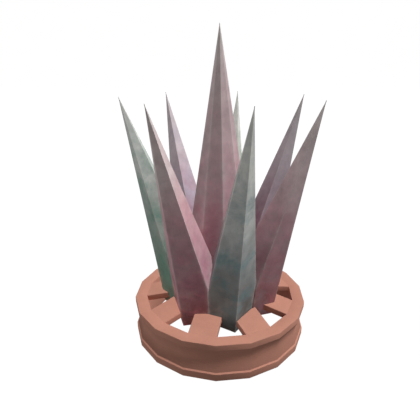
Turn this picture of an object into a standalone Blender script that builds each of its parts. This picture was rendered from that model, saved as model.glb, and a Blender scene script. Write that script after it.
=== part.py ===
"""Agave in an open terracotta ring.

An eighteen-sided ring stands on the ground. Nine tabs rise from the top of its inner
wall towards the middle and grip a rosette of eight leaves: one straight leaf in the
centre and seven that lean outwards around it. Metres, +Z up, the front is -Y. The
origin is on the ground, under the middle of the whole plant's box.
"""

import math

import bmesh
import bpy
from mathutils import Vector

# The rosette leans out further to the left than to the right, so the ring stands
# this far from the origin, which is under the middle of everything.
PLANT_CENTRE = Vector((0.0028, -0.0006, 0.0))
GAP = 0.0003

# Terracotta ring
RING_SIDES = 18
RING_RADIUS = 0.100
RING_INNER_RADIUS = 0.0863
RING_HEIGHT = 0.0436
RING_TURN = math.radians(-1.6)
TOP_BAND_HEIGHT = 0.0068
FOOT_BAND_HEIGHT = 0.0081
LEDGE_HEIGHT = 0.0012
LEDGE_WIDTH = 0.0014
GROOVE_DEPTH = 0.0035
GROOVE_STEPS = 8

# Tabs: every other side of the ring's inner wall
TAB_THICKNESS = 0.007
TAB_SLOPE = 0.207
TAB_INNER_RADIUS = 0.050

# Outer leaves
LEAF_NAMES = (
    "leaf_front",
    "leaf_right",
    "leaf_back_right",
    "leaf_back",
    "leaf_back_left",
    "leaf_left",
    "leaf_front_left",
)
LEAF_COUNT = len(LEAF_NAMES)
LEAF_SIDES = 5
LEAF_TURN = math.radians(1.5)
LEAF_FIRST_AZIMUTH = math.radians(14.3)
LEAF_ROOT_RADIUS = 0.0339
LEAF_ROOT_HEIGHT = RING_HEIGHT - 0.0022
LEAF_TIP_RADIUS = 0.1046
LEAF_TIP_HEIGHT = RING_HEIGHT + 0.2266
LEAF_THICKNESS_RADIUS = 0.0335

# Centre leaf
CENTRE_SIDES = 9
CENTRE_TURN = math.radians(7.8)
CENTRE_RADIUS = 0.0491
CENTRE_ROOT_HEIGHT = RING_HEIGHT - 0.006
CENTRE_TIP_HEIGHT = RING_HEIGHT + 0.2946
CENTRE_TIP_LEAN = -0.0022

TERRACOTTA = (0.55, 0.26, 0.18)
LEAF_COLOURS = {
    "leaf_front": (0.14, 0.20, 0.20),
    "leaf_right": (0.21, 0.11, 0.14),
    "leaf_back_right": (0.22, 0.17, 0.21),
    "leaf_back": (0.20, 0.30, 0.22),
    "leaf_back_left": (0.31, 0.27, 0.32),
    "leaf_left": (0.09, 0.20, 0.16),
    "leaf_front_left": (0.26, 0.11, 0.14),
    "leaf_centre": (0.32, 0.18, 0.22),
}


def clear_scene():
    for item in list(bpy.data.objects):
        bpy.data.objects.remove(item)


def polar(radius, azimuth, height):
    """A point at this distance from the plant's middle, turned from the front."""
    return Vector((radius * math.sin(azimuth), -radius * math.cos(azimuth), height))


def make_material(name, colour, roughness):
    material = bpy.data.materials.new(name)
    material.use_nodes = True
    shader = material.node_tree.nodes["Principled BSDF"]
    shader.inputs["Base Color"].default_value = (*colour, 1.0)
    shader.inputs["Roughness"].default_value = roughness
    shader.inputs["Metallic"].default_value = 0.0
    return material


def add_object(name, shape, material=None):
    """Turns a finished bmesh into an object that stands at the plant's centre."""
    bmesh.ops.recalc_face_normals(shape, faces=shape.faces)
    mesh = bpy.data.meshes.new(name)
    shape.to_mesh(mesh)
    shape.free()
    obj = bpy.data.objects.new(name, mesh)
    obj.location = PLANT_CENTRE
    bpy.context.scene.collection.objects.link(obj)
    if material:
        mesh.materials.append(material)
    return obj


def hide_cutter(obj):
    obj.hide_render = True
    obj.display_type = "WIRE"
    return obj


def cut_with(obj, cutter):
    cut = obj.modifiers.new("cut_" + cutter.name, "BOOLEAN")
    cut.operation = "DIFFERENCE"
    cut.solver = "EXACT"
    cut.object = cutter


def pyramid(root, tip, radius, sides, turn, grow=0.0, longer=0.0):
    """A pyramid on a regular base that is square to its axis, as a bmesh.

    `turn` is the angle of the first corner from the outward side. `grow` moves every
    side face outwards by that much, and `longer` carries the sides on past the root.
    """
    axis = (root - tip).normalized()
    length = (root - tip).length
    spread = radius / length
    face_angle = math.atan(spread * math.cos(math.pi / sides))
    lift = grow / math.sin(face_angle)
    apex = tip - axis * lift
    reach = length + lift + longer
    outward = Vector((tip.x - root.x, tip.y - root.y, 0.0))
    if outward.length < 0.01:
        outward = Vector((0.0, -1.0, 0.0))
    outward = (outward - axis * outward.dot(axis)).normalized()
    sideways = outward.cross(axis).normalized()
    shape = bmesh.new()
    corners = []
    for step in range(sides):
        angle = turn + 2.0 * math.pi * step / sides
        arm = outward * math.cos(angle) + sideways * math.sin(angle)
        corners.append(shape.verts.new(apex + axis * reach + arm * spread * reach))
    point = shape.verts.new(apex)
    shape.faces.new(corners)
    for step in range(sides):
        shape.faces.new((corners[step], corners[(step + 1) % sides], point))
    return shape


def leaf_pyramid(azimuth, grow=0.0, longer=0.0):
    """An outer leaf: five faces, one ridge facing straight out, leaning outwards."""
    root = polar(LEAF_ROOT_RADIUS, azimuth, LEAF_ROOT_HEIGHT)
    tip = polar(LEAF_TIP_RADIUS, azimuth, LEAF_TIP_HEIGHT)
    return pyramid(root, tip, LEAF_THICKNESS_RADIUS, LEAF_SIDES, LEAF_TURN, grow, longer)


def centre_pyramid(grow=0.0, longer=0.0):
    """The centre leaf: nine faces, upright, its tip a little to the left."""
    root = Vector((0.0, 0.0, CENTRE_ROOT_HEIGHT))
    tip = Vector((CENTRE_TIP_LEAN, 0.0, CENTRE_TIP_HEIGHT))
    return pyramid(root, tip, CENTRE_RADIUS, CENTRE_SIDES, CENTRE_TURN, grow, longer)


def trim_beside_neighbour(shape, azimuth, side):
    """Cuts a leaf off at the upright plane half way to its neighbour on one side."""
    normal = polar(1.0, azimuth + side * (math.pi / LEAF_COUNT + math.pi / 2.0), 0.0)
    cut = bmesh.ops.bisect_plane(
        shape,
        geom=shape.verts[:] + shape.edges[:] + shape.faces[:],
        plane_co=normal * (-GAP / 2.0),
        plane_no=normal,
        clear_outer=True,
    )
    edges = [item for item in cut["geom_cut"] if isinstance(item, bmesh.types.BMEdge)]
    bmesh.ops.edgeloop_fill(shape, edges=edges)


def make_outer_leaf(name, azimuth, centre_cutter):
    shape = leaf_pyramid(azimuth)
    trim_beside_neighbour(shape, azimuth, 1.0)
    trim_beside_neighbour(shape, azimuth, -1.0)
    leaf = add_object(name, shape, make_material(name, LEAF_COLOURS[name], 0.75))
    cut_with(leaf, centre_cutter)
    return leaf


def ring_outline():
    """Radius and height down the ring's outside, then up its inner wall."""
    groove_top = RING_HEIGHT - TOP_BAND_HEIGHT
    groove_foot = FOOT_BAND_HEIGHT + LEDGE_HEIGHT
    outline = [(RING_RADIUS, RING_HEIGHT)]
    for step in range(GROOVE_STEPS + 1):
        along = step / GROOVE_STEPS
        hollow = GROOVE_DEPTH * 4.0 * along * (1.0 - along)
        radius = RING_RADIUS - LEDGE_WIDTH * along - hollow
        outline.append((radius, groove_top + (groove_foot - groove_top) * along))
    outline.append((RING_RADIUS, FOOT_BAND_HEIGHT))
    outline.append((RING_RADIUS, 0.0))
    outline.append((RING_INNER_RADIUS, 0.0))
    outline.append((RING_INNER_RADIUS, RING_HEIGHT - TAB_THICKNESS))
    outline.append((RING_INNER_RADIUS, RING_HEIGHT))
    return outline


def make_ring():
    """The ring and its tabs in one piece, fired as one."""
    outline = ring_outline()
    shape = bmesh.new()
    columns = []
    for side in range(RING_SIDES):
        azimuth = RING_TURN + 2.0 * math.pi * side / RING_SIDES
        columns.append([shape.verts.new(polar(r, azimuth, z)) for r, z in outline])
    tab_faces = []
    last = len(outline) - 2
    for side in range(RING_SIDES):
        near = columns[side]
        far = columns[(side + 1) % RING_SIDES]
        for row in range(len(outline)):
            below = (row + 1) % len(outline)
            face = shape.faces.new((near[row], near[below], far[below], far[row]))
            if row == last and side % 2 == 1:
                tab_faces.append(face)
    for face in tab_faces:
        add_tab(shape, face)
    ring = add_object("pot_ring", shape, make_material("terracotta", TERRACOTTA, 0.85))
    ring.data.shade_smooth()
    ring.data.set_sharp_from_angle(angle=math.radians(30.0))
    return ring


def add_tab(shape, face):
    """Draws one face of the inner wall inwards and up into a flat tab."""
    middle = face.calc_center_median()
    inward = Vector((-middle.x, -middle.y, 0.0))
    reach = inward.length - TAB_INNER_RADIUS
    inward.normalize()
    drawn = bmesh.ops.extrude_discrete_faces(shape, faces=[face])
    step = inward * reach + Vector((0.0, 0.0, TAB_SLOPE * reach))
    bmesh.ops.translate(shape, verts=drawn["faces"][0].verts[:], vec=step)


def main():
    clear_scene()
    centre_cutter = hide_cutter(add_object("centre_clearance", centre_pyramid(GAP, 0.03)))
    centre_material = make_material("leaf_centre", LEAF_COLOURS["leaf_centre"], 0.75)
    add_object("leaf_centre", centre_pyramid(), centre_material)
    ring = make_ring()
    for index, name in enumerate(LEAF_NAMES):
        azimuth = LEAF_FIRST_AZIMUTH + 2.0 * math.pi * index / LEAF_COUNT
        make_outer_leaf(name, azimuth, centre_cutter)
        clearance = add_object(name + "_clearance", leaf_pyramid(azimuth, GAP, 0.01))
        cut_with(ring, hide_cutter(clearance))


main()
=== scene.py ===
import math

import bpy
import numpy as np
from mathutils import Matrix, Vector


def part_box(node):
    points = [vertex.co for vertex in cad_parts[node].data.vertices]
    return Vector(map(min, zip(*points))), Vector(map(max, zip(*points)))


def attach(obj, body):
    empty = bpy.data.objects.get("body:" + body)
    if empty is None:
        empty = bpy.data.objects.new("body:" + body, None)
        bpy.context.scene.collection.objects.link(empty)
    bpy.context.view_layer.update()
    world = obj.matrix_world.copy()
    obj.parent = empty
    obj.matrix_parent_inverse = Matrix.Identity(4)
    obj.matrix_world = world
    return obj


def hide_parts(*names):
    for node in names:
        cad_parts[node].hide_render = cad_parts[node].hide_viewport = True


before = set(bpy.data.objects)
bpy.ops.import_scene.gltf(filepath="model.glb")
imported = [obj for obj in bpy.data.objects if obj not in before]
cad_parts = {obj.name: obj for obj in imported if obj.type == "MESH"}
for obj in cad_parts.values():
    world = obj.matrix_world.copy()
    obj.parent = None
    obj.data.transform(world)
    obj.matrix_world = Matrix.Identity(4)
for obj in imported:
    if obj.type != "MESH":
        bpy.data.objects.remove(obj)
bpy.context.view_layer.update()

# The plant's upright axis goes through the middle of the clay ring.
RING_LOW, RING_HIGH = (np.array(corner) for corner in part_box("pot_ring"))
CENTRE = (RING_LOW + RING_HIGH) * np.array([0.5, 0.5, 0.0])
UP = np.array([0.0, 0.0, 1.0])
GAP = 0.0003

# Clay ring, in metres
RING_SIDES = 18
RING_TURN = math.radians(-1.6)
RING_RADIUS = 0.100
RING_INNER_RADIUS = 0.0863
RING_HEIGHT = 0.0436
BAND_FOOT = RING_HEIGHT - 0.0068
LEDGE_TOP = 0.0093
LEDGE_FOOT = 0.0081
LEDGE_WIDTH = 0.0014
GROOVE_DEPTH = 0.0035
ARRIS = 0.0005

# Tabs of the clay ring
TAB_HALF_WIDTH = RING_INNER_RADIUS * math.sin(math.pi / RING_SIDES) - 0.0001
TAB_THICKNESS = 0.007
TAB_SLOPE = 0.207
TAB_ARRIS = 0.0006
TAB_ROOT = 0.0905
TAB_RISES_FROM = 0.0856
TAB_LONGEST = 0.040

# Outer leaves, in order round the plant from the front
LEAF_SIDES = 5
LEAF_TURN = math.radians(1.5)
LEAF_FIRST_AZIMUTH = math.radians(14.3)
LEAF_ROOT_RADIUS = 0.0339
LEAF_ROOT_HEIGHT = RING_HEIGHT - 0.0022
LEAF_TIP_RADIUS = 0.1046
LEAF_TIP_HEIGHT = RING_HEIGHT + 0.2266
LEAF_THICKNESS_RADIUS = 0.0335

# Centre leaf
CENTRE_SIDES = 9
CENTRE_TURN = math.radians(7.8)
CENTRE_RADIUS = 0.0491
CENTRE_ROOT = CENTRE + UP * (RING_HEIGHT - 0.006)
CENTRE_TIP = CENTRE + np.array([-0.0022, 0.0, RING_HEIGHT + 0.2946])

# How crisp the ridges are, and how narrow the highlight painted along them: a higher power is sharper.
RIDGE_POWER = 120.0
RIDGE_HIGHLIGHT_POWER = 24.0
LEAF_COLUMNS = 720
LEAF_ROWS = 70
ROWS_CROWD_TO_TIP = 1.15
TIP_START = 0.0005
TIP_RADIUS = 0.00035
EDGE_ON = 1e-6
LEAST_FACING = 0.05
OUT_OF_REACH = 1000.0

# Skin colours from the root of a leaf to its tip, then the cloud and fleck tints.
LEAF_SKINS = {
    "leaf_front": (
        ((0.12, 0.13, 0.13), (0.30, 0.33, 0.33), (0.62, 0.64, 0.62),
         (0.85, 0.86, 0.81), (0.87, 0.87, 0.82)),
        (0.20, 0.33, 0.35),
        (0.42, 0.37, 0.36),
    ),
    "leaf_right": (
        ((0.27, 0.11, 0.13), (0.48, 0.25, 0.28), (0.59, 0.37, 0.41),
         (0.73, 0.59, 0.60), (0.80, 0.73, 0.72)),
        (0.40, 0.30, 0.32),
        (0.60, 0.22, 0.30),
    ),
    "leaf_back_right": (
        ((0.22, 0.15, 0.19), (0.30, 0.22, 0.27), (0.44, 0.35, 0.40),
         (0.56, 0.49, 0.52), (0.58, 0.53, 0.54)),
        (0.46, 0.42, 0.46),
        (0.56, 0.34, 0.50),
    ),
    "leaf_back": (
        ((0.30, 0.40, 0.33), (0.46, 0.58, 0.47), (0.80, 0.85, 0.74),
         (0.93, 0.93, 0.86), (0.90, 0.90, 0.84)),
        (0.36, 0.52, 0.40),
        (0.62, 0.66, 0.46),
    ),
    "leaf_back_left": (
        ((0.28, 0.16, 0.23), (0.38, 0.24, 0.32), (0.60, 0.43, 0.52),
         (0.78, 0.68, 0.72), (0.76, 0.71, 0.72)),
        (0.58, 0.54, 0.64),
        (0.66, 0.44, 0.62),
    ),
    "leaf_left": (
        ((0.15, 0.21, 0.17), (0.22, 0.34, 0.28), (0.43, 0.51, 0.46),
         (0.80, 0.83, 0.79), (0.80, 0.80, 0.76)),
        (0.16, 0.36, 0.28),
        (0.44, 0.46, 0.34),
    ),
    "leaf_front_left": (
        ((0.27, 0.125, 0.145), (0.52, 0.27, 0.33), (0.78, 0.47, 0.51),
         (0.90, 0.74, 0.74), (0.88, 0.80, 0.78)),
        (0.60, 0.40, 0.42),
        (0.78, 0.30, 0.40),
    ),
}
CENTRE_SKIN = (
    ((0.40, 0.20, 0.22), (0.46, 0.23, 0.27), (0.61, 0.38, 0.42),
     (0.74, 0.57, 0.58), (0.76, 0.68, 0.66)),
    (0.52, 0.42, 0.44),
    (0.70, 0.28, 0.36),
)
CLAY = (0.60, 0.282, 0.205)
PALE_CLAY = (0.62, 0.36, 0.27)
# Painted highlight: the pale colour laid in patches along the leaves' ridges.
PAINTED_RIDGE_HIGHLIGHT = (0.78, 0.74, 0.70)
# Painted shade: how dark the clay is painted at the foot of the groove.
GROOVE_SHADE = 0.64

# Lights, floor and camera, which stands square to the front of the rim
ROOM_LIGHT = 0.195
FLOOR_COLOUR = (0.10, 0.10, 0.10)
FLOOR_GLOW = 0.94
FLOOR_HALF_WIDTH = 6.0
CAMERA_BACK = 0.4133
CAMERA_ABOVE_RIM = 0.2541
CAMERA_DIP = 19.93
CAMERA_TURN = 1.58
LENS_MM = 33.64
SENSOR_MM = 36.0


# ---------------------------------------------------------------- shapes


def polar(radius, azimuth, height):
    """The point at `radius` from the plant's axis, turned `azimuth` from the front."""
    return CENTRE + np.stack(
        [radius * np.sin(azimuth), -radius * np.cos(azimuth), height + 0.0 * azimuth], axis=-1
    )


def unit(vector):
    return vector / np.linalg.norm(vector, axis=-1, keepdims=True)


class Pyramid:
    """A leaf's true form: a regular pyramid, its corner radius growing evenly from the tip.

    Side face k is the plane that stands off the tip's line by
    distance-from-tip * spread * cos(pi / sides) along the direction halfway between
    corners k and k + 1.
    """

    def __init__(self, root, tip, radius, sides, turn, outward):
        self.tip = tip
        self.turn = turn
        self.length = np.linalg.norm(root - tip)
        self.axis = (root - tip) / self.length
        self.outward = unit(outward - self.axis * (outward @ self.axis))
        self.sideways = np.cross(self.outward, self.axis)
        self.spread = radius / self.length
        self.apothem = self.spread * math.cos(math.pi / sides)
        self.angles = turn + math.pi / sides + 2.0 * math.pi * np.arange(sides) / sides
        across = self.across(self.angles)
        self.normals = unit(across - self.apothem * self.axis)
        self.offsets = self.normals @ tip

    def across(self, angle):
        """Unit vectors square to the axis, turned `angle` from the outward side."""
        angle = np.asarray(angle)[..., None]
        return np.cos(angle) * self.outward + np.sin(angle) * self.sideways

    def with_base(self):
        """Normals and offsets of the side faces and of the flat base."""
        base = self.axis @ (self.tip + self.axis * self.length)
        return np.vstack([self.normals, self.axis]), np.append(self.offsets, base)


def way_in(start, direction, normals, offsets):
    """How far each ray goes before it enters a convex solid, and infinity if it misses."""
    closing = direction @ normals.T
    distance = offsets - start @ normals.T
    with np.errstate(divide="ignore", invalid="ignore"):
        crossing = distance / closing
    enter = np.where(closing < 0.0, crossing, -np.inf).max(axis=-1)
    leave = np.where(closing > 0.0, crossing, np.inf).min(axis=-1)
    return np.where((enter < leave) & (enter > 0.0), enter, np.inf)


def to_plane(room, closing):
    """Distance to a plane: the room in front of it over how fast a ray closes on it."""
    return np.where(closing > EDGE_ON, room / np.maximum(closing, EDGE_ON), OUT_OF_REACH)


def soft_least(distances):
    """The smallest distance, eased near a tie: (sum of distance ** -p) ** (-1 / p).

    Also returns how near each point is to a ridge, from 0 on a flat to 1 on the ridge.
    """
    least = distances.min(axis=-1)
    ratio = least[..., None] / distances
    eased = least * (ratio ** RIDGE_POWER).sum(axis=-1) ** (-1.0 / RIDGE_POWER)
    near = np.log2((ratio ** RIDGE_HIGHLIGHT_POWER).sum(axis=-1))
    return eased, np.clip(near, 0.0, 1.0)


def section_rows(shape, walls=None, keep_out=None):
    """Closed sections of a leaf, row by row from the tip to the root.

    Row i is the plane square to the axis at distance s from the tip. A point on it lies
    on a ray from the section's middle, where the ray first meets a side face, one of the
    upright `walls` beside the neighbours, or the `keep_out` leaf in the centre.
    Returns points, how near each is to a ridge, and how far along the leaf it lies.
    """
    growth = np.linspace(0.0, 1.0, LEAF_ROWS) ** ROWS_CROWD_TO_TIP
    reach = TIP_START + (shape.length - TIP_START) * growth
    turn = shape.turn + 2.0 * math.pi * np.arange(LEAF_COLUMNS) / LEAF_COLUMNS
    direction = shape.across(turn)
    line = shape.tip + reach[:, None] * shape.axis
    middle = np.zeros_like(reach)
    if keep_out is not None:
        normals, offsets = keep_out.normals, keep_out.offsets + GAP
        facing = normals @ shape.outward
        surface = (offsets - line @ normals.T) / np.where(facing > LEAST_FACING, facing, np.nan)
        inner = np.maximum(np.nanmin(surface, axis=1), -shape.apothem * reach)
        middle = 0.5 * (shape.spread * reach + inner)
    start = line + middle[:, None] * shape.outward
    closing = np.cos(turn[:, None] - shape.angles[None, :])
    room = shape.apothem * reach[:, None] - middle[:, None] * np.cos(shape.angles)[None, :]
    candidates = [to_plane(room[:, None, :], closing)]
    for normal in walls or ():
        closing = (direction @ normal)[None, :]
        room = (-GAP / 2.0 - (start - CENTRE) @ normal)[:, None]
        candidates.append(to_plane(room, closing)[..., None])
    if keep_out is not None:
        rays = np.broadcast_to(direction[None], (LEAF_ROWS, LEAF_COLUMNS, 3))
        origins = np.broadcast_to(start[:, None], rays.shape)
        hit = way_in(origins, rays, normals, offsets)
        candidates.append(np.minimum(hit, OUT_OF_REACH)[..., None])
    radius, ridge = soft_least(np.concatenate(candidates, axis=-1))
    radius = np.maximum(radius, TIP_RADIUS)
    points = start[:, None] + radius[..., None] * direction[None]
    along = 1.0 - np.broadcast_to((reach / shape.length)[:, None], radius.shape)
    return points, ridge, along


def close_foot(points, ridge, along):
    """Adds rows that round the edge of the flat foot and draw in to its middle.

    Row j is the last section shrunk by a factor towards its middle and moved down a
    quarter circle of the arris's radius.
    """
    last = points[-1]
    middle = last.mean(axis=0)
    down = unit(points[-1].mean(axis=0) - points[-2].mean(axis=0))
    size = np.linalg.norm(last - middle, axis=1).mean()
    sweep = np.linspace(0.3, math.pi / 2.0, 4)
    inward = 1.0 - (1.0 - np.cos(sweep)) * ARRIS / size
    factors = np.concatenate([inward, [0.8, 0.5, 0.2]])
    drops = np.concatenate([np.sin(sweep) * ARRIS, [ARRIS] * 3]) - ARRIS
    rows = middle + factors[:, None, None] * (last - middle)[None] + drops[:, None, None] * down
    points = np.concatenate([points[:-1], points[-1:] - ARRIS * down, rows])
    ridge = np.concatenate([ridge, np.repeat(ridge[-1:] * 0.5, len(factors), axis=0)])
    along = np.concatenate([along, np.repeat(along[-1:], len(factors), axis=0)])
    return points, ridge, along


def skin_faces(rows, columns):
    """Vertex numbers of a tube of quads whose two ends are closed by fans."""
    number = np.arange(rows * columns).reshape(rows, columns)
    right = np.roll(number, -1, axis=1)
    quads = np.stack([number[:-1], right[:-1], right[1:], number[1:]], axis=-1).reshape(-1, 4)
    top = rows * columns
    foot = top + 1
    fan = np.stack([np.full(columns, top), right[0], number[0]], axis=-1)
    base = np.stack([np.full(columns, foot), number[-1], right[-1]], axis=-1)
    return quads.tolist() + fan.tolist() + base.tolist()


def signed_volume(points, faces):
    """Six times the volume inside the faces, positive when they point outwards."""
    total = 0.0
    for size in (3, 4):
        chosen = np.array([face for face in faces if len(face) == size])
        if len(chosen) == 0:
            continue
        corners = points[chosen]
        for step in range(1, size - 1):
            wedge = np.cross(corners[:, step], corners[:, step + 1])
            total += (corners[:, 0] * wedge).sum()
    return total


def facing_out(points, faces):
    """The same faces, all turned over if they point inwards."""
    if signed_volume(points, faces) < 0.0:
        return [face[::-1] for face in faces]
    return faces


def make_piece(name, points, faces, attributes, material, sharp_angle):
    faces = facing_out(points, faces)
    mesh = bpy.data.meshes.new(name)
    mesh.from_pydata(points.tolist(), [], faces)
    for key, values in attributes.items():
        layer = mesh.attributes.new(key, "FLOAT", "POINT")
        layer.data.foreach_set("value", values.astype(np.float32))
    mesh.materials.append(material)
    mesh.shade_smooth()
    mesh.set_sharp_from_angle(angle=math.radians(sharp_angle))
    mesh.update()
    piece = bpy.data.objects.new(name, mesh)
    bpy.context.scene.collection.objects.link(piece)
    return piece


def make_leaf(node, shape, skin, walls=None, keep_out=None):
    points, ridge, along = close_foot(*section_rows(shape, walls, keep_out))
    rows, columns = points.shape[:2]
    ends = np.stack([shape.tip, points[-1].mean(axis=0)])
    flat = np.concatenate([points.reshape(-1, 3), ends])
    attributes = {
        "ridge": np.append(ridge.reshape(-1), [1.0, 0.0]),
        "along": np.append(along.reshape(-1), [1.0, 0.0]),
    }
    material = leaf_material(node + "_skin", *skin)
    piece = make_piece(node + "_blade", flat, skin_faces(rows, columns), attributes, material, 50.0)
    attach(piece, "root")
    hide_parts(node)
    return piece


def outer_leaf_shape(azimuth):
    root = polar(LEAF_ROOT_RADIUS, azimuth, LEAF_ROOT_HEIGHT)
    tip = polar(LEAF_TIP_RADIUS, azimuth, LEAF_TIP_HEIGHT)
    outward = polar(1.0, azimuth, 0.0) - CENTRE
    return Pyramid(root, tip, LEAF_THICKNESS_RADIUS, LEAF_SIDES, LEAF_TURN, outward)


def make_leaves():
    """The centre leaf, then the outer leaves, each kept between its neighbours' walls."""
    front = np.array([0.0, -1.0, 0.0])
    centre = Pyramid(CENTRE_ROOT, CENTRE_TIP, CENTRE_RADIUS, CENTRE_SIDES, CENTRE_TURN, front)
    make_leaf("leaf_centre", centre, CENTRE_SKIN)
    spacing = 2.0 * math.pi / len(LEAF_SKINS)
    shapes = []
    for index, (node, skin) in enumerate(LEAF_SKINS.items()):
        azimuth = LEAF_FIRST_AZIMUTH + spacing * index
        shape = outer_leaf_shape(azimuth)
        sides = azimuth + np.array([1.0, -1.0]) * (spacing + math.pi) / 2.0
        walls = polar(1.0, sides, 0.0) - CENTRE
        make_leaf(node, shape, skin, list(walls), centre)
        shapes.append(shape)
    return shapes


def ring_profile():
    """Radius and height round the ring's section from the outside, and the groove's shade.

    Edges are eased by quarter turns, and the groove is a parabola: depth * 4 s (1 - s).
    The shade is painted on, not cast: it grows from 0 half way down the groove to 1 at its
    foot, which the lights alone leave too pale.
    """
    turn = np.linspace(0.0, math.pi / 2.0, 4)
    out = ARRIS * (1.0 - np.sin(turn))
    rise = ARRIS * (1.0 - np.cos(turn))
    top_edge = np.stack([RING_RADIUS - out, RING_HEIGHT - rise], axis=1)
    along = np.concatenate([[0.0, 0.008], np.linspace(0.03, 0.97, 19), [0.992, 1.0]])
    hollow = GROOVE_DEPTH * 4.0 * along * (1.0 - along)
    groove = np.stack(
        [RING_RADIUS - LEDGE_WIDTH * along - hollow, BAND_FOOT + (LEDGE_TOP - BAND_FOOT) * along], axis=1
    )
    band = np.array([[RING_RADIUS, BAND_FOOT + 0.0003]])
    share = np.array([0.06, 0.93, 1.0])
    ledge = np.stack(
        [RING_RADIUS - LEDGE_WIDTH * (1.0 - share), LEDGE_TOP + (LEDGE_FOOT - LEDGE_TOP) * share], axis=1
    )
    below = np.array([[RING_RADIUS, LEDGE_FOOT - 0.0003]])
    foot_edge = np.stack([RING_RADIUS - out[::-1], rise[::-1]], axis=1)
    inner_foot = np.stack([RING_INNER_RADIUS + out, rise], axis=1)
    inner_top = np.stack([RING_INNER_RADIUS + out[::-1], RING_HEIGHT - rise[::-1]], axis=1)
    outline = np.concatenate([top_edge, band, groove, ledge, below, foot_edge, inner_foot, inner_top])
    first = len(top_edge) + len(band)
    shade = np.zeros(len(outline))
    shade[first:first + len(along)] = np.clip(2.0 * along - 1.0, 0.0, 1.0)
    return outline, shade


def ring_surface():
    """The profile stood at each of the ring's corners and joined side by side."""
    profile, shade = ring_profile()
    azimuth = RING_TURN + 2.0 * math.pi * np.arange(RING_SIDES) / RING_SIDES
    radius, height = profile[:, 0][:, None], profile[:, 1][:, None]
    points = polar(radius + 0.0 * azimuth, azimuth + 0.0 * radius, height)
    number = np.arange(points.shape[0] * points.shape[1]).reshape(points.shape[:2])
    right, below = np.roll(number, -1, axis=1), np.roll(number, -1, axis=0)
    faces = np.stack([number, right, np.roll(right, -1, axis=0), below], axis=-1)
    return points.reshape(-1, 3), faces.reshape(-1, 4).tolist(), np.repeat(shade, RING_SIDES)


def tab_outline():
    """Across and up round a tab's section: a rectangle with quarter-round corners."""
    width, height = TAB_HALF_WIDTH - TAB_ARRIS, TAB_THICKNESS / 2.0 - TAB_ARRIS
    turn = np.linspace(0.0, math.pi / 2.0, 5)
    pieces = []
    for corner, (across, up) in enumerate(((1, 1), (-1, 1), (-1, -1), (1, -1))):
        angle = turn + corner * math.pi / 2.0
        round_corner = np.stack([np.cos(angle), np.sin(angle)], axis=1) * TAB_ARRIS
        pieces.append(round_corner + np.array([across * width, up * height]))
        if across == up:
            inside = np.linspace(0.96, -0.96, 25)[:, None] * np.array([[across * width, 0.0]])
            pieces.append(inside + np.array([0.0, up * (height + TAB_ARRIS)]))
    return np.concatenate(pieces)


def tab_surface(azimuth, leaves):
    """A tab: its section carried inwards and up until it meets the leaves' faces.

    A point is wall + across * x + up * y + travel * (inward + slope * up), where travel
    grows to the place where that line enters the nearest leaf.
    """
    outline = tab_outline()
    inward = -(polar(1.0, np.array(azimuth), 0.0) - CENTRE)
    across = np.cross(UP, inward)
    run = inward + TAB_SLOPE * UP
    drop = TAB_SLOPE * (TAB_ROOT - TAB_RISES_FROM) + TAB_THICKNESS / 2.0
    wall = polar(TAB_ROOT, np.array(azimuth), RING_HEIGHT - drop)
    shrink = np.concatenate([np.ones(8), [0.999, 0.85, 0.6, 0.3, 0.1]])
    travel_share = np.concatenate([np.linspace(0.0, 1.0, 8), np.ones(5)])
    section = shrink[:, None, None] * outline[None]
    start = wall + section[..., :1] * across + section[..., 1:] * UP
    travel = np.full(start.shape[:2], TAB_LONGEST)
    for leaf in leaves:
        normals, offsets = leaf.with_base()
        met = way_in(start, np.broadcast_to(run, start.shape), normals, offsets + GAP)
        travel = np.minimum(travel, met)
    points = start + (travel_share[:, None] * travel)[..., None] * run
    ends = np.stack([points[0].mean(axis=0), points[-1].mean(axis=0)])
    flat = np.concatenate([points.reshape(-1, 3), ends])
    return flat, facing_out(flat - wall, skin_faces(*points.shape[:2]))


def make_pot(leaves):
    """The ring and its nine tabs: one fired piece, so one mesh."""
    points, faces, shade = ring_surface()
    faces = facing_out(points, faces)
    for side in range(1, RING_SIDES, 2):
        azimuth = RING_TURN + 2.0 * math.pi * (side + 0.5) / RING_SIDES
        tab_points, tab_faces = tab_surface(azimuth, leaves)
        faces = faces + [[len(points) + number for number in face] for face in tab_faces]
        points = np.concatenate([points, tab_points])
    shade = np.append(shade, np.zeros(len(points) - len(shade)))
    pot = make_piece("clay_ring", points, faces, {"groove_shade": shade}, clay_material(), 35.0)
    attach(pot, "root")
    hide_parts("pot_ring")
    return pot


# ---------------------------------------------------------------- materials


def add_node(tree, kind, settings=None, inputs=None):
    """A shader node, with its settings, and its inputs given as values or as sockets."""
    made = tree.nodes.new(kind)
    for key, value in (settings or {}).items():
        setattr(made, key, value)
    for key, value in (inputs or {}).items():
        if isinstance(value, bpy.types.NodeSocket):
            tree.links.new(value, made.inputs[key])
        else:
            made.inputs[key].default_value = value
    return made


def noise(tree, place, scale, detail, roughness=0.55, distortion=0.0):
    values = {"Vector": place, "Scale": scale, "Detail": detail}
    values.update({"Roughness": roughness, "Distortion": distortion})
    return add_node(tree, "ShaderNodeTexNoise", None, values).outputs["Fac"]


def remap(tree, value, low, high, to_low, to_high):
    inputs = {"Value": value, "From Min": low, "From Max": high, "To Min": to_low, "To Max": to_high}
    return add_node(tree, "ShaderNodeMapRange", None, inputs).outputs["Result"]


def maths(tree, operation, first, second):
    return add_node(tree, "ShaderNodeMath", {"operation": operation}, {0: first, 1: second}).outputs[0]


def blend_colour(tree, mode, share, first, second):
    settings = {"data_type": "RGBA", "blend_type": mode}
    return add_node(tree, "ShaderNodeMix", settings, {0: share, 6: first, 7: second}).outputs[2]


def shaded(tree, colour, shade):
    """The colour multiplied by one brightness in all three channels."""
    grey = add_node(tree, "ShaderNodeCombineColor", None, {0: shade, 1: shade, 2: shade})
    return blend_colour(tree, "MULTIPLY", 1.0, colour, grey.outputs[0])


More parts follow.
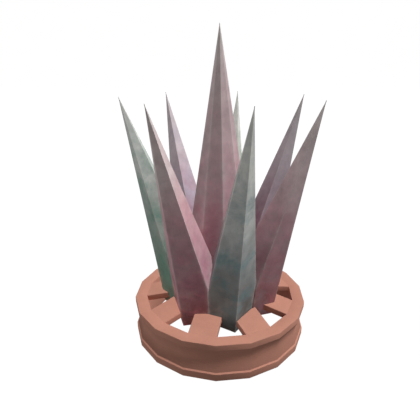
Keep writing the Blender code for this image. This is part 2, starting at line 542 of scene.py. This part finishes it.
def stretched(tree, place, scale):
    return add_node(tree, "ShaderNodeMapping", None, {"Vector": place, "Scale": scale}).outputs[0]


def new_material(name):
    material = bpy.data.materials.new(name)
    material.use_nodes = True
    tree = material.node_tree
    shader = tree.nodes["Principled BSDF"]
    place = add_node(tree, "ShaderNodeTexCoord").outputs["Object"]
    return material, tree, shader, place


def leaf_material(name, stops, cloud, fleck):
    """Waxy skin: a colour that changes along the leaf, cloudy tints, flecks, fine fibres and a painted
    highlight along the ridges.
    """
    material, tree, shader, place = new_material(name)
    along = add_node(tree, "ShaderNodeAttribute", {"attribute_name": "along"}).outputs["Fac"]
    ridge = add_node(tree, "ShaderNodeAttribute", {"attribute_name": "ridge"}).outputs["Fac"]
    drift = remap(tree, noise(tree, place, 26.0, 4.0), 0.3, 0.7, -0.10, 0.10)
    ramp = add_node(tree, "ShaderNodeValToRGB", None, {"Fac": maths(tree, "ADD", along, drift)})
    places = ramp.color_ramp.elements
    for index in range(1, len(stops) - 1):
        places.new(index / (len(stops) - 1.0))
    for stop, colour in zip(places, stops):
        stop.color = (*colour, 1.0)
    clouds = remap(tree, noise(tree, place, 34.0, 6.0, 0.62, 0.4), 0.46, 0.64, 0.0, 0.70)
    low_down = remap(tree, along, 0.55, 0.95, 1.0, 0.25)
    share = maths(tree, "MULTIPLY", clouds, low_down)
    colour = blend_colour(tree, "MIX", share, ramp.outputs[0], (*cloud, 1.0))
    flecks = remap(tree, noise(tree, place, 62.0, 5.0, 0.6, 0.3), 0.54, 0.70, 0.0, 0.60)
    middle = remap(tree, along, 0.05, 0.6, 1.0, 0.1)
    share = maths(tree, "MULTIPLY", flecks, middle)
    colour = blend_colour(tree, "MIX", share, colour, (*fleck, 1.0))
    wash = remap(tree, noise(tree, place, 95.0, 5.0, 0.6), 0.3, 0.7, 0.88, 1.10)
    fibres = noise(tree, stretched(tree, place, (1.0, 1.0, 0.06)), 900.0, 3.0)
    shade = maths(tree, "MULTIPLY", wash, remap(tree, fibres, 0.3, 0.7, 0.965, 1.03))
    colour = shaded(tree, colour, shade)
    # Painted highlight: pale colour mixed in patches along the ridges, where light would catch the edges.
    highlight_patches = remap(tree, noise(tree, place, 140.0, 3.0), 0.35, 0.65, 0.15, 0.50)
    painted_highlight = maths(tree, "MULTIPLY", ridge, highlight_patches)
    colour = blend_colour(tree, "MIX", painted_highlight, colour, (*PAINTED_RIDGE_HIGHLIGHT, 1.0))
    tree.links.new(colour, shader.inputs["Base Color"])
    rough = remap(tree, noise(tree, place, 120.0, 4.0), 0.3, 0.7, 0.58, 0.78)
    tree.links.new(rough, shader.inputs["Roughness"])
    shader.inputs["Specular IOR Level"].default_value = 0.22
    pores = noise(tree, place, 1500.0, 2.0)
    height = maths(tree, "ADD", fibres, maths(tree, "MULTIPLY", pores, 0.5))
    bump = add_node(tree, "ShaderNodeBump", None, {"Strength": 0.22, "Distance": 0.0004, "Height": height})
    tree.links.new(bump.outputs[0], shader.inputs["Normal"])
    return material


def clay_material():
    """Dry fired clay: warm blotches, a sandy grain, pale dust and the groove's painted shade."""
    material, tree, shader, place = new_material("fired_clay")
    blotch = remap(tree, noise(tree, place, 30.0, 4.0), 0.3, 0.7, 0.95, 1.05)
    sand = remap(tree, noise(tree, place, 1400.0, 3.0, 0.7), 0.3, 0.7, 0.93, 1.07)
    rings = noise(tree, stretched(tree, place, (0.05, 0.05, 1.0)), 700.0, 2.0)
    turning = remap(tree, rings, 0.3, 0.7, 0.98, 1.02)
    groove = add_node(tree, "ShaderNodeAttribute", {"attribute_name": "groove_shade"}).outputs["Fac"]
    # The groove's painted shade is multiplied in with the turning marks, darkening the clay towards the
    # groove's foot.
    turning = maths(tree, "MULTIPLY", turning, remap(tree, groove, 0.0, 1.0, 1.0, GROOVE_SHADE))
    shade = maths(tree, "MULTIPLY", maths(tree, "MULTIPLY", blotch, sand), turning)
    dust = remap(tree, noise(tree, place, 75.0, 6.0, 0.65), 0.5, 0.75, 0.0, 0.16)
    colour = blend_colour(tree, "MIX", dust, (*CLAY, 1.0), (*PALE_CLAY, 1.0))
    colour = shaded(tree, colour, shade)
    tree.links.new(colour, shader.inputs["Base Color"])
    rough = remap(tree, noise(tree, place, 300.0, 3.0), 0.3, 0.7, 0.78, 0.93)
    tree.links.new(rough, shader.inputs["Roughness"])
    shader.inputs["Specular IOR Level"].default_value = 0.15
    grain = noise(tree, place, 2200.0, 3.0, 0.7)
    pits = remap(tree, noise(tree, place, 420.0, 2.0), 0.62, 0.72, 0.0, -1.0)
    height = maths(tree, "ADD", grain, pits)
    bump = add_node(tree, "ShaderNodeBump", None, {"Strength": 0.25, "Distance": 0.0003, "Height": height})
    tree.links.new(bump.outputs[0], shader.inputs["Normal"])
    return material


# ---------------------------------------------------------------- setting


def make_floor():
    """A pale floor, mostly its own white light, that throws none back on the plant."""
    material = bpy.data.materials.new("pale_floor")
    material.use_nodes = True
    tree = material.node_tree
    shader = tree.nodes["Principled BSDF"]
    shader.inputs["Base Color"].default_value = (*FLOOR_COLOUR, 1.0)
    shader.inputs["Roughness"].default_value = 1.0
    shader.inputs["Specular IOR Level"].default_value = 0.0
    shader.inputs["Emission Color"].default_value = (1.0, 1.0, 1.0, 1.0)
    shader.inputs["Emission Strength"].default_value = FLOOR_GLOW
    half = FLOOR_HALF_WIDTH
    corners = [(-half, -half, 0.0), (half, -half, 0.0), (half, half, 0.0), (-half, half, 0.0)]
    mesh = bpy.data.meshes.new("floor")
    mesh.from_pydata(corners, [], [(0, 1, 2, 3)])
    mesh.materials.append(material)
    floor = bpy.data.objects.new("floor", mesh)
    bpy.context.scene.collection.objects.link(floor)
    floor.location.z = -0.0002
    floor.visible_diffuse = False
    floor.visible_glossy = False


def add_sun(name, azimuth, elevation, strength, softness, shadow):
    """A broad far light: `azimuth` turns it from the front towards the right."""
    light = bpy.data.lights.new(name, "SUN")
    light.energy = strength * math.pi
    light.angle = math.radians(softness)
    light.use_shadow = shadow
    lamp = bpy.data.objects.new(name, light)
    lamp.rotation_euler = (math.radians(90.0 - elevation), 0.0, math.radians(azimuth))
    bpy.context.scene.collection.objects.link(lamp)


def make_light():
    """A key from the right with no shadow, a weak fill from the left and a white room."""
    add_sun("key", azimuth=90.0, elevation=56.0, strength=0.82, softness=12.0, shadow=False)
    add_sun("fill", azimuth=-90.0, elevation=15.0, strength=0.18, softness=30.0, shadow=True)
    world = bpy.data.worlds.new("white_room")
    world.use_nodes = True
    tree = world.node_tree
    tree.nodes.clear()
    white = (1.0, 1.0, 1.0, 1.0)
    seen = add_node(tree, "ShaderNodeBackground", None, {"Color": white, "Strength": 1.0})
    lit = add_node(tree, "ShaderNodeBackground", None, {"Color": white, "Strength": ROOM_LIGHT})
    rays = add_node(tree, "ShaderNodeLightPath")
    either = add_node(tree, "ShaderNodeMixShader", None, {0: rays.outputs["Is Camera Ray"]})
    tree.links.new(lit.outputs[0], either.inputs[1])
    tree.links.new(seen.outputs[0], either.inputs[2])
    output = add_node(tree, "ShaderNodeOutputWorld")
    tree.links.new(either.outputs[0], output.inputs["Surface"])
    bpy.context.scene.world = world


def make_camera():
    """A little over four ring radii in front, looking down by twenty degrees."""
    lens = bpy.data.cameras.new("camera")
    lens.sensor_width = SENSOR_MM
    lens.lens = LENS_MM
    lens.clip_start = 0.01
    camera = bpy.data.objects.new("camera", lens)
    camera.location = CENTRE + np.array([0.0, -CAMERA_BACK, RING_HEIGHT + CAMERA_ABOVE_RIM])
    camera.rotation_euler = (math.radians(90.0 - CAMERA_DIP), 0.0, math.radians(CAMERA_TURN))
    bpy.context.scene.collection.objects.link(camera)
    bpy.context.scene.camera = camera


make_camera()
make_pot(make_leaves())
make_floor()
make_light()
bpy.context.scene.view_settings.view_transform = "Standard"
